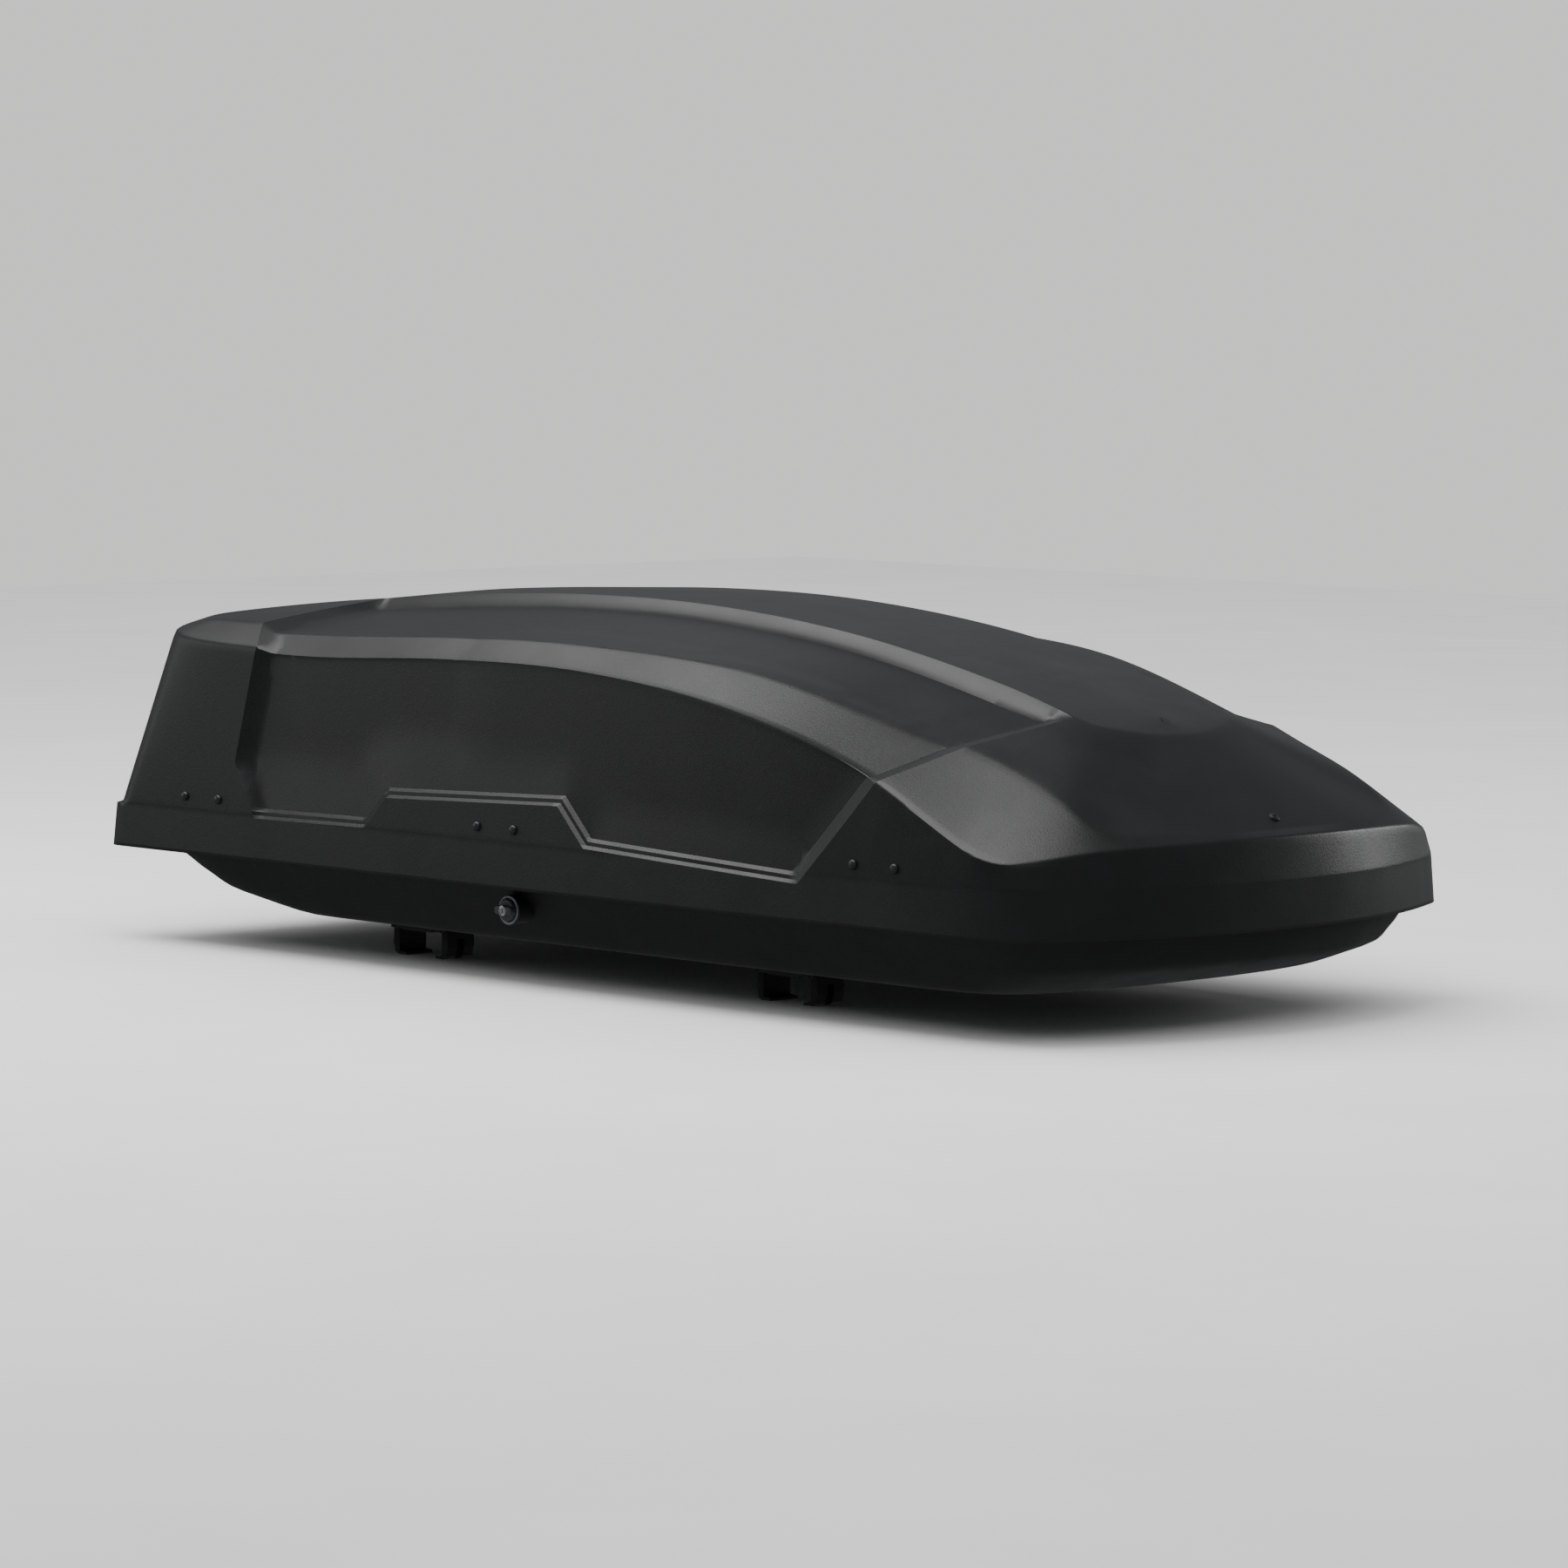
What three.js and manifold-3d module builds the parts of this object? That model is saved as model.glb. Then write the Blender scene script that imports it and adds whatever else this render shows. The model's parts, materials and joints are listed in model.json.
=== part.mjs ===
// Roof cargo box with a side-opening lid, quick-grip roof-bar clamps and a key lock.
// Millimetres. +X runs to the nose, +Y to the hinge side, +Z up.
// Heights are measured from the underside of the base; the last lines lift the whole box
// so that it stands on the toes of its clamp jaws.

import * as THREE from 'three';
import { ParametricGeometry } from 'three/addons/geometries/ParametricGeometry.js';
import { mergeVertices } from 'three/addons/utils/BufferGeometryUtils.js';
import Module from 'manifold-3d';

const wasm = await Module();
wasm.setup();

// ---- driving dimensions -------------------------------------------------------------------

const halfLength = 875;
const halfWidth = 412.5;
const rimHeight = 79; // lower edge of the lid
const lipHeight = 136; // top of the lip across the tail
const lipDepth = 15;
const plateauHalfWidth = 130; // raised spine along the roof
const wall = 2.6; // lid sheet
const trayWall = 2.6;
const recess = 8; // how deep the side panels are set in
const gap = 0.4; // between neighbours that would touch

const flangeInset = 15.5; // base flange, measured in from the lid rim
const flangeBottom = 80;
const flangeTop = 84;
const trayTop = 88;

const hingeY = 384;
const hingeZ = 92;
const knuckleRadius = 4.8;
const pinRadius = 2.2;
const fittingStations = [-683, -106, 553]; // hinges on one side, latches on the other
const rivetOffset = 34;
const rivetHeight = 154;
const stationNames = ['rear', 'middle', 'front'];

const latchY = -386;
const latchZ = 96;
const boltRadius = 3.6;
const boltTravel = 30;

const lockX = -112;
const lockZ = 48;
const crankRadius = 30;
const crankRestAngle = Math.PI / 6;

const ribStations = [-600, 10, 400];
const strutStations = [-600, 400];
const strutArm = 220; // both strut pivots lie this far from the hinge axis
const strutBaseAngle = THREE.MathUtils.degToRad(-9);
const strutLidAngle = THREE.MathUtils.degToRad(53);
const lidOpenAngle = THREE.MathUtils.degToRad(50);

const barStations = [-419, 263]; // roof bars that the clamps hold
const barHalfWidth = 40;
const barThickness = 30;
const clampY = 230;
const clampTravel = 80;
const padThickness = 12;
const toeThickness = 3.6;
const jawDrop = padThickness + barThickness + toeThickness + gap;

// ---- solids ---------------------------------------------------------------------------------

function solidFrom(geometry) {
  const bare = geometry.index ? geometry.clone() : geometry;
  bare.deleteAttribute('normal');
  bare.deleteAttribute('uv');
  const merged = mergeVertices(bare, 1e-3);
  const triVerts = [];
  const index = merged.index.array;
  for (let i = 0; i < index.length; i += 3) {
    const [a, b, c] = [index[i], index[i + 1], index[i + 2]];
    if (a !== b && b !== c && c !== a) triVerts.push(a, b, c);
  }
  const mesh = new wasm.Mesh({
    numProp: 3,
    vertProperties: new Float32Array(merged.attributes.position.array),
    triVerts: new Uint32Array(triVerts),
  });
  return new wasm.Manifold(mesh);
}

function outline(points) {
  return new THREE.Shape(points.map(([a, b]) => new THREE.Vector2(a, b)));
}

function disc(a, b, radius) {
  return new THREE.Shape().absarc(a, b, radius, 0, Math.PI * 2);
}

function slot(a, b, halfLengthAlong, radius) {
  const shape = new THREE.Shape();
  shape.absarc(a + halfLengthAlong, b, radius, -Math.PI / 2, Math.PI / 2);
  shape.absarc(a - halfLengthAlong, b, radius, Math.PI / 2, Math.PI * 1.5);
  shape.closePath();
  return shape;
}

function roundedBox(a, b, halfA, halfB, radius) {
  const shape = new THREE.Shape();
  shape.absarc(a + halfA - radius, b + halfB - radius, radius, 0, Math.PI / 2);
  shape.absarc(a - halfA + radius, b + halfB - radius, radius, Math.PI / 2, Math.PI);
  shape.absarc(a - halfA + radius, b - halfB + radius, radius, Math.PI, Math.PI * 1.5);
  shape.absarc(a + halfA - radius, b - halfB + radius, radius, Math.PI * 1.5, Math.PI * 2);
  shape.closePath();
  return shape;
}

const alongAxis = {
  x: new THREE.Matrix4().makeBasis(
    new THREE.Vector3(0, 1, 0), new THREE.Vector3(0, 0, 1), new THREE.Vector3(1, 0, 0)),
  y: new THREE.Matrix4().makeBasis(
    new THREE.Vector3(1, 0, 0), new THREE.Vector3(0, 0, 1), new THREE.Vector3(0, -1, 0)),
  z: new THREE.Matrix4(),
};

// An outline pushed along an axis. Outlines hold (y, z) for x, (x, z) for y and (x, y) for z,
// and a full circle in one gets the given number of sides.
function prism(axis, shape, from, to, sides = 12) {
  const depth = to - from;
  const geometry = new THREE.ExtrudeGeometry(shape,
    { depth, bevelEnabled: false, curveSegments: sides / 2 });
  if (axis === 'y') geometry.translate(0, 0, -to);
  else geometry.translate(0, 0, from);
  geometry.applyMatrix4(alongAxis[axis]);
  return solidFrom(geometry);
}

function block(x0, x1, y0, y1, z0, z1) {
  return prism('z', outline([[x0, y0], [x1, y0], [x1, y1], [x0, y1]]), z0, z1);
}

function joined(pieces) {
  return pieces.reduce((sum, piece) => sum.add(piece));
}

const finish = {
  lidPlastic: { color: 0x1d1d1f, roughness: 0.42, metalness: 0 },
  basePlastic: { color: 0x151516, roughness: 0.6, metalness: 0 },
  clampPlastic: { color: 0x101011, roughness: 0.55, metalness: 0 },
  steel: { color: 0xb4b6ba, roughness: 0.35, metalness: 1 },
  aluminium: { color: 0xc3c6c9, roughness: 0.4, metalness: 1 },
  strutPaint: { color: 0x18181a, roughness: 0.3, metalness: 0.2 },
  chrome: { color: 0xd8dadd, roughness: 0.12, metalness: 1 },
  handlePlastic: { color: 0x2b2b2e, roughness: 0.5, metalness: 0 },
  rubber: { color: 0x0e0e0f, roughness: 0.85, metalness: 0 },
};

const box = new THREE.Group();

function addPiece(name, solid, look) {
  const { vertProperties, triVerts } = solid.getMesh();
  const geometry = new THREE.BufferGeometry();
  geometry.setAttribute('position', new THREE.BufferAttribute(new Float32Array(vertProperties), 3));
  geometry.setIndex(new THREE.BufferAttribute(new Uint32Array(triVerts), 1));
  geometry.computeVertexNormals();
  const mesh = new THREE.Mesh(geometry, new THREE.MeshStandardMaterial(finish[look]));
  mesh.name = name;
  box.add(mesh);
  return mesh;
}

// ---- shells built from stacked rings ----------------------------------------------------------
// A ring is half an outline, listed from the middle of the tail round one corner, along the
// side, round the front corner to the middle of the nose. Every ring of a shell has the same
// number of points, so the skin between two rings runs straight from point to point.

const spine = (ring, x, z) => ring.map((p) => [p[0] * x, 0, z ?? p[2]]);

function insetRing(ring, side, down) {
  return ring.map(([x, y, z]) => [x - Math.sign(x) * side, Math.max(y - side, 0), z - down]);
}

function ringCurve(half) {
  const points = half.map(([x, y, z]) => new THREE.Vector3(x, -y, z));
  for (let i = half.length - 2; i > 0; i--) {
    points.push(new THREE.Vector3(half[i][0], half[i][1], half[i][2]));
  }
  return new THREE.CatmullRomCurve3(points, true);
}

const stepsPerPoint = 2;

function shellSolid(rings) {
  const curves = rings.map(ringCurve);
  const around = (rings[0].length - 1) * 2 * stepsPerPoint;
  const skin = (u, v, target) => {
    const level = Math.round(v * (curves.length - 1));
    target.copy(curves[level].getPoint(u % 1));
  };
  return solidFrom(new ParametricGeometry(skin, around, curves.length - 1));
}

// ---- lid ------------------------------------------------------------------------------------

const rimPlan = [
  [-halfLength, 0], [-871, 330], [-856, 381], [-815, 404], [-515, 410], [-230, halfWidth],
  [20, halfWidth], [270, 410.5], [500, 405], [715, 398], [768, 380], [803, 322], [858, 165],
  [halfLength, 0],
];
const rimRing = rimPlan.map(([x, y]) => [x, y, rimHeight]);
const lipRing = rimPlan.map(([x, y]) => [x * 0.998, y - Math.min(y, 5), lipHeight]);
const tailRing = lipRing.map(([x, y, z], i) => [i < 4 ? x + lipDepth : x, y, z + 3]);
const shoulderRing = [
  [-790, 0, 384], [-772, 322, 366], [-764, 350, 359], [-738, 370, 355], [-515, 386, 356],
  [-230, 387, 366], [20, 387, 363], [270, 390, 334], [500, 394, 276], [712, 396, 178],
  [752, 378, 170], [800, 303, 181], [848, 150, 188], [865, 0, 190],
];
const roofEdgeRing = [
  [-772, 0, 396], [-756, 300, 380], [-746, 326, 377], [-720, 342, 377], [-515, 352, 386],
  [-230, 354, 397], [20, 354, 396], [270, 350, 376], [500, 326, 318], [640, 298, 270],
  [735, 290, 226], [793, 270, 200], [835, 145, 205], [850, 0, 206],
];
const plateauRing = [
  [-745, 0, 402], [-735, 95, 401], [-725, 120, 402], [-700, plateauHalfWidth, 404],
  [-515, plateauHalfWidth, 421], [-230, plateauHalfWidth, 434], [20, plateauHalfWidth, 429],
  [270, plateauHalfWidth, 403], [500, plateauHalfWidth, 361], [600, plateauHalfWidth, 337],
  [645, 124, 323], [668, 96, 315], [684, 55, 309], [690, 0, 307],
];
const crestLine = [
  [-700, 0, 409], [-690, 0, 410], [-680, 0, 411], [-660, 0, 413], [-515, 0, 426], [-230, 0, 438],
  [20, 0, 433], [270, 0, 407], [500, 0, 365], [590, 0, 344], [620, 0, 336], [636, 0, 331],
  [646, 0, 328], [650, 0, 327],
];

function lidSolid(inset, floor) {
  const deep = (ring) => insetRing(ring, inset, inset);
  const bottom = rimRing.map(([x, y]) => [x, y, floor]);
  return shellSolid([
    spine(insetRing(bottom, inset, 0), 0.8), insetRing(bottom, inset, 0), deep(lipRing),
    deep(tailRing), deep(shoulderRing), deep(roofEdgeRing), deep(plateauRing), deep(crestLine),
  ]);
}

// Side view of the panel that is set into each flank and the roof beside the spine.
const panelOutline = [
  [-575, 134], [-355, 137], [-318, 178], [5, 189], [57, 140], [419, 124], [544, 255],
  [563, 283], [600, 335], [606, 470], [-650, 470], [-640, 400], [-592, 358], [-620, 205],
];

function panelBlocks(grow) {
  const centre = [-30, 300];
  const grown = panelOutline.map(([x, z]) => [
    x + Math.sign(x - centre[0]) * grow, z + Math.sign(z - centre[1]) * grow]);
  const inner = plateauHalfWidth + 8 - grow;
  return [
    prism('y', outline(grown), inner, halfWidth + 20),
    prism('y', outline(grown), -halfWidth - 20, -inner),
  ];
}

function recessedLid(inset, floor, grow) {
  const proud = lidSolid(inset, floor);
  const sunk = lidSolid(inset + recess, floor);
  const [left, right] = panelBlocks(grow);
  return proud.subtract(left.subtract(sunk)).subtract(right.subtract(sunk));
}

// how far out the flank is at a station and height
const flankLow = ringCurve(tailRing);
const flankHigh = ringCurve(shoulderRing);

function flankY(x, z) {
  const points = (rimPlan.length - 1) * 2;
  let [from, to] = [2 / points, 10 / points];
  const at = new THREE.Vector3();
  for (let i = 0; i < 24; i++) {
    const u = (from + to) / 2;
    const low = flankLow.getPoint(u);
    const high = flankHigh.getPoint(u);
    at.lerpVectors(low, high, (z - low.z) / (high.z - low.z));
    if (at.x < x) from = u;
    else to = u;
  }
  return Math.abs(at.y);
}

const rivetRadius = 2.4;
const rivetHeadRadius = 4.6;
const headGap = 1.2;
const fittingClearance = 4.4; // plates stand this far off the curved wall

function rivetPlaces(station) {
  return [station - rivetOffset, station + rivetOffset];
}

function rivetHoles() {
  const holes = [];
  for (const station of fittingStations) {
    for (const x of rivetPlaces(station)) {
      holes.push(prism('y', disc(x, rivetHeight, rivetRadius + gap), 360, 430, 6));
      holes.push(prism('y', disc(x, rivetHeight, rivetRadius + gap), -430, -360, 6));
    }
  }
  return holes;
}

// a plug stands square on the slope of the nose, between the roof edge and the spine
const noseLow = roofEdgeRing.at(-1);
const noseHigh = plateauRing.at(-1);
const noseSlope = Math.atan2(noseHigh[2] - noseLow[2], noseLow[0] - noseHigh[0]);
const plugRadius = 3;
const plugX = 822;
const plugZ = noseLow[2] + (noseLow[0] - plugX) * Math.tan(noseSlope);

function onNose(radius, from, to, facets) {
  const geometry = new THREE.CylinderGeometry(radius, radius, to - from, facets);
  geometry.translate(0, (from + to) / 2, 0);
  geometry.rotateX(Math.PI / 2);
  geometry.rotateY(noseSlope);
  geometry.translate(plugX, 0, plugZ);
  return solidFrom(geometry);
}

const lidShell = recessedLid(0, rimHeight, 0)
  .subtract(recessedLid(wall, rimHeight - 12, wall))
  .subtract(joined(rivetHoles()))
  .subtract(onNose(plugRadius + gap, -20, 20, 12));
addPiece('lid_shell', lidShell, 'lidPlastic');
addPiece('nose_plug', onNose(plugRadius, -8, 2, 12).add(onNose(6, 1, 3, 16)), 'clampPlastic');

// stiffening hoops under the roof, from flank to flank
const ribDepth = 8;
const ribWidth = 30;
const ribFoot = 118;
const ribOuter = lidSolid(wall + recess + 1.2, rimHeight - 12);
const ribInner = lidSolid(wall + recess + ribDepth, rimHeight - 12);
ribStations.forEach((x, i) => {
  const slab = block(x - ribWidth / 2, x + ribWidth / 2, -halfWidth, halfWidth, ribFoot, 470);
  addPiece(`lid_rib_${stationNames[i]}`, slab.intersect(ribOuter).subtract(ribInner), 'aluminium');
});

// ---- base tray ------------------------------------------------------------------------------

const floorRing = [
  [-612, 0, 0], [-610, 255, 0], [-598, 295, 0], [-565, 312, 0], [-400, 315, 0], [-200, 316, 0],
  [20, 316, 0], [270, 315, 0], [480, 312, 0], [610, 305, 0], [655, 285, 0], [680, 240, 0],
  [698, 120, 0], [702, 0, 0],
];
const kneeRing = [
  [-745, 0, 27], [-742, 290, 27], [-725, 328, 28], [-690, 338, 29], [-450, 338, 30],
  [-200, 339, 30], [20, 339, 30], [270, 338, 30], [500, 336, 31], [690, 330, 33],
  [740, 312, 35], [778, 262, 36], [828, 130, 38], [845, 0, 38],
];
const wallPlan = [
  [-806, 0], [-803, 330], [-790, 362], [-755, 374], [-500, 375], [-200, 375], [20, 375],
  [270, 375], [500, 372], [705, 366], [752, 346], [790, 290], [842, 145], [857, 0],
];

function traySolid(inset, top) {
  const level = (z) => wallPlan.map(([x, y]) => [x - Math.sign(x) * inset, Math.max(y - inset, 0), z]);
  const floor = insetRing(floorRing, inset, -inset);
  return shellSolid([
    spine(floor, 0.8), floor, insetRing(kneeRing, inset, -inset), level(rimHeight), level(top),
    spine(level(top), 0.8),
  ]);
}

function flangePlate() {
  const level = (z) => insetRing(rimPlan.map(([x, y]) => [x, y, z]), flangeInset, 0);
  return shellSolid([
    spine(level(flangeBottom), 0.8), level(flangeBottom), level(flangeTop),
    spine(level(flangeTop), 0.8),
  ]);
}

const stemHalfWidth = 11;
const stemHalfLength = 28;
const floorSlotHalf = stemHalfLength + clampTravel + stemHalfWidth + 2;

function clampSlots(z0, z1) {
  const cuts = [];
  for (const x of barStations) {
    for (const y of [-clampY, clampY]) {
      cuts.push(prism('z', slot(x, y, floorSlotHalf - stemHalfWidth, stemHalfWidth + 1), z0, z1, 6));
    }
  }
  return joined(cuts);
}

const lockBore = 18.4;
const baseTray = traySolid(0, trayTop)
  .add(flangePlate())
  .subtract(traySolid(trayWall, trayTop + 10))
  .subtract(clampSlots(-5, 10))
  .subtract(prism('y', disc(lockX, lockZ, lockBore), -400, -320, 12));
addPiece('base_tray', baseTray, 'basePlastic');

// slotted rails that spread the clamp load over the floor
const railBottom = trayWall + gap;
const railThickness = 4;
const railTop = railBottom + railThickness;
const railSlots = clampSlots(0, 12);
for (const [side, y] of [['right', -clampY], ['left', clampY]]) {
  const rail = prism('z', roundedBox(-30, y, 555, 32, 8), railBottom, railTop, 3);
  addPiece(`floor_rail_${side}`, rail.subtract(railSlots), 'aluminium');
}

// ---- hinges, on the +Y side -------------------------------------------------------------------

const hingeHalfWidth = 45;
const knuckleSplit = 15;
const leafThickness = 2.5;
const leafTop = 172;

stationNames.forEach((name, i) => {
  const x = fittingStations[i];
  const ends = [x - hingeHalfWidth, x + hingeHalfWidth];
  const leafFace = Math.min(...ends.map((end) => flankY(end, leafTop))) - wall - fittingClearance;
  const leaf = outline([
    [leafFace, leafTop], [leafFace - leafThickness, leafTop], [leafFace - leafThickness, 128],
    [hingeY - 2.4, hingeZ + 3], [hingeY + 2.4, hingeZ + 3], [leafFace, 126],
  ]);
  const bore = prism('x', disc(hingeY, hingeZ, pinRadius + 0.3), x - 60, x + 60, 8);
  const rivets = rivetPlaces(x).map((rx) => {
    const face = flankY(rx, rivetHeight);
    return joined([
      prism('y', disc(rx, rivetHeight, rivetRadius), leafFace - 1, face + headGap + 1, 6),
      prism('y', disc(rx, rivetHeight, rivetHeadRadius), face + headGap, face + headGap + 2, 8),
    ]);
  });
  const lidKnuckles = joined([
    prism('x', leaf, ends[0], ends[1]),
    prism('x', disc(hingeY, hingeZ, knuckleRadius), ends[0], x - knuckleSplit, 8),
    prism('x', disc(hingeY, hingeZ, knuckleRadius), x + knuckleSplit, ends[1], 8),
  ]);
  const window = block(x - knuckleSplit, x + knuckleSplit, hingeY - 12, hingeY + 12,
    hingeZ - 10, hingeZ + 12);
  addPiece(`hinge_lid_leaf_${name}`,
    joined([lidKnuckles.subtract(window), ...rivets]).subtract(bore), 'steel');

  const footTop = flangeTop + gap + 2.2;
  const footHalf = hingeHalfWidth;
  const baseLeaf = joined([
    block(x - footHalf, x + footHalf, hingeY - 5.5, hingeY + 9, flangeTop + gap, footTop),
    block(x - knuckleSplit + 0.8, x + knuckleSplit - 0.8, hingeY - 4, hingeY + 4, footTop - 1, hingeZ),
    prism('x', disc(hingeY, hingeZ, knuckleRadius), x - knuckleSplit + 0.8,
      x + knuckleSplit - 0.8, 8),
  ]);
  addPiece(`hinge_base_leaf_${name}`, baseLeaf.subtract(bore), 'steel');

  const headInner = hingeHalfWidth + gap;
  addPiece(`hinge_pin_${name}`, joined([
    prism('x', disc(hingeY, hingeZ, pinRadius), x - headInner - 2, x + headInner + 2, 8),
    prism('x', disc(hingeY, hingeZ, 3.6), x + headInner, x + headInner + 2, 8),
    prism('x', disc(hingeY, hingeZ, 3.6), x - headInner - 2, x - headInner, 8),
  ]), 'steel');
});

// ---- latches, on the -Y side ------------------------------------------------------------------

const eyeThickness = 4;
const eyeHalfWidth = 7;
const eyeBottom = latchZ - 8;

stationNames.forEach((name, i) => {
  const x = fittingStations[i];
  const plateFace = Math.min(flankY(x - 42, leafTop), flankY(x + 42, leafTop)) - wall - fittingClearance;
  const plateInner = plateFace - leafThickness;
  const rivets = rivetPlaces(x).map((rx) => {
    const face = flankY(rx, rivetHeight);
    return joined([
      prism('y', disc(rx, rivetHeight, rivetRadius), -face - headGap - 1, -plateFace + 1, 6),
      prism('y', disc(rx, rivetHeight, rivetHeadRadius), -face - headGap - 2, -face - headGap, 8),
    ]);
  });
  const bracket = prism('x', outline([
    [-plateInner, leafTop], [-plateInner - leafThickness, leafTop],
    [-plateInner - leafThickness, 136], [latchY - eyeHalfWidth, 116],
    [latchY - eyeHalfWidth, eyeBottom], [latchY + eyeHalfWidth, eyeBottom],
    [latchY + eyeHalfWidth, 118], [-plateInner, 138],
  ]), x, x + eyeThickness);
  const striker = joined([
    block(x - 42, x + 42, -plateFace, -plateInner, 138, leafTop), bracket, ...rivets,
  ]).subtract(prism('x', disc(latchY, latchZ, boltRadius + 1), x - 5, x + 10, 8));
  addPiece(`latch_striker_${name}`, striker, 'steel');
});

// the bar that shoots all three bolts, with a slotted tab for the crank of the turn handle
const barOuter = latchY + eyeHalfWidth + 1;
const barInner = barOuter + 3;
const barLow = trayTop + 1.2;
const barHigh = barLow + 14;
const boltTipGap = 2;
const boltLength = 36;
const tabOuter = -347;
const tabInner = tabOuter + 2.5;
const crankPinX = lockX - crankRadius * Math.sin(crankRestAngle);
const crankPinZ = lockZ + crankRadius * Math.cos(crankRestAngle);
const crankPinRadius = 3;

const bolts = fittingStations.map((x) => {
  const tip = x - boltTipGap;
  return joined([
    prism('x', disc(latchY, latchZ, boltRadius), tip - boltLength, tip, 8),
    block(tip - boltLength - 8, tip - boltLength + 1, latchY - 5, barOuter + 1, latchZ - 5, latchZ + 5),
  ]);
});
const crankTab = joined([
  block(crankPinX - 12, crankPinX + 12, barOuter, tabInner, barHigh - 3, barHigh),
  block(crankPinX - 12, crankPinX + 12, tabOuter, tabInner, crankPinZ - 10, barHigh),
]).subtract(prism('y', outline([
  [crankPinX - crankPinRadius - 0.7, crankPinZ - 4.5], [crankPinX + crankPinRadius + 0.7, crankPinZ - 4.5],
  [crankPinX + crankPinRadius + 0.7, crankPinZ + 9], [crankPinX - crankPinRadius - 0.7, crankPinZ + 9],
]), tabOuter - 2, tabInner + 2));
addPiece('lock_bar', joined([
  block(fittingStations[0] - 45, fittingStations[2] - 20, barOuter, barInner, barLow, barHigh),
  crankTab, ...bolts,
]), 'steel');

const guidePlay = 0.6;
stationNames.forEach((name, i) => {
  const x = fittingStations[i] - 62 - boltTravel;
  const guide = joined([
    block(x - 12, x + 12, latchY - 7, barOuter - guidePlay, flangeTop + gap, flangeTop + gap + 2.6),
    block(x - 12, x + 12, barOuter - guidePlay - 2, barOuter - guidePlay, flangeTop + gap,
      barHigh + guidePlay + 2),
    block(x - 12, x + 12, barOuter - guidePlay - 2, barInner + guidePlay + 2, barHigh + guidePlay,
      barHigh + guidePlay + 2),
    block(x - 12, x + 12, barInner + guidePlay, barInner + guidePlay + 2, barLow, barHigh + guidePlay + 2),
  ]);
  addPiece(`latch_guide_${name}`, guide, 'clampPlastic');
});

// ---- lock: housing in the base wall, turn handle with its crank, key barrel --------------------

const housingFace = -371;
const housingBack = tabOuter - 2.4;
const shaftRadius = 5;
addPiece('lock_housing', joined([
  prism('y', disc(lockX, lockZ, lockBore - gap), housingFace, housingBack, 12),
  prism('y', disc(lockX, lockZ, lockBore + 0.6), housingFace - 2, housingFace + 1, 16),
]).subtract(prism('y', disc(lockX, lockZ, shaftRadius + 0.6), -400, -330, 16)), 'clampPlastic');

const handleBack = housingFace - 2 - gap;
const handleFront = handleBack - 8;
const barrelRadius = 4.5;
const crankOuter = tabInner + 1;
const crankInner = crankOuter + 3;
const armTurn = new THREE.Matrix4().makeRotationY(-crankRestAngle);
const armOutline = [[-6, -6], [6, -6], [5, crankRadius + 4], [-5, crankRadius + 4]].map(([a, b]) => {
  const turned = new THREE.Vector3(a, 0, b).applyMatrix4(armTurn);
  return [lockX + turned.x, lockZ + turned.z];
});
const handle = joined([
  prism('y', disc(lockX, lockZ, 14), handleFront, handleBack, 14),
  prism('y', roundedBox(lockX, lockZ, 15.5, 5, 4), handleFront - 6, handleFront + 1, 4),
  prism('y', disc(lockX, lockZ, shaftRadius), handleBack - 1, crankInner, 8),
  prism('y', outline(armOutline), crankOuter, crankInner),
  prism('y', disc(crankPinX, crankPinZ, crankPinRadius), tabOuter - 1, crankOuter + 1, 8),
]).subtract(prism('y', disc(lockX, lockZ, barrelRadius + gap), handleFront - 10, handleBack - 3, 10));
addPiece('turn_handle', handle, 'handlePlastic');

const barrelFront = handleFront - 7;
addPiece('key_barrel', prism('y', disc(lockX, lockZ, barrelRadius), barrelFront, handleBack - 3 - gap, 10)
  .subtract(block(lockX - 0.7, lockX + 0.7, barrelFront - 1, barrelFront + 3, lockZ - 3, lockZ + 3)),
'chrome');

// ---- gas struts, beside the hinge side ----------------------------------------------------------

function strutPoint(angle) {
  return [hingeY - strutArm * Math.cos(angle), hingeZ + strutArm * Math.sin(angle)];
}
const strutBase = strutPoint(strutBaseAngle);
const strutLid = strutPoint(strutLidAngle);
const apex = strutLidAngle - strutBaseAngle;
const strutClosed = 2 * strutArm * Math.sin(apex / 2);
const strutTilt = Math.atan2(strutLid[1] - strutBase[1], strutLid[0] - strutBase[0]);
const studRadius = 4;

// a shape drawn along +Z from the strut's base pivot, laid along the strut
function alongStrut(geometry, x) {
  geometry.rotateX(strutTilt - Math.PI / 2);
  geometry.translate(x, strutBase[0], strutBase[1]);
  return solidFrom(geometry);
}

function turnedProfile(points) {
  return new THREE.LatheGeometry(points.map(([r, z]) => new THREE.Vector2(r, z)), 12)
    .rotateX(Math.PI / 2);
}

function strutEye(x, distance, stretch, halfThick) {
  const eye = new THREE.Shape();
  const lug = 8;
  eye.absarc(0, distance, lug, Math.PI, Math.PI * 2);
  eye.absarc(0, distance + stretch, lug, 0, Math.PI);
  eye.closePath();
  const hole = new THREE.Path();
  hole.absarc(0, distance, studRadius + 0.5, Math.PI, Math.PI * 2);
  hole.absarc(0, distance + stretch, studRadius + 0.5, 0, Math.PI);
  hole.closePath();
  eye.holes.push(hole);
  const geometry = new THREE.ExtrudeGeometry(eye,
    { depth: halfThick * 2, bevelEnabled: false, curveSegments: 6 });
  geometry.translate(0, 0, -halfThick);
  geometry.applyMatrix4(alongAxis.x);
  return alongStrut(geometry, x);
}

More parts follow.
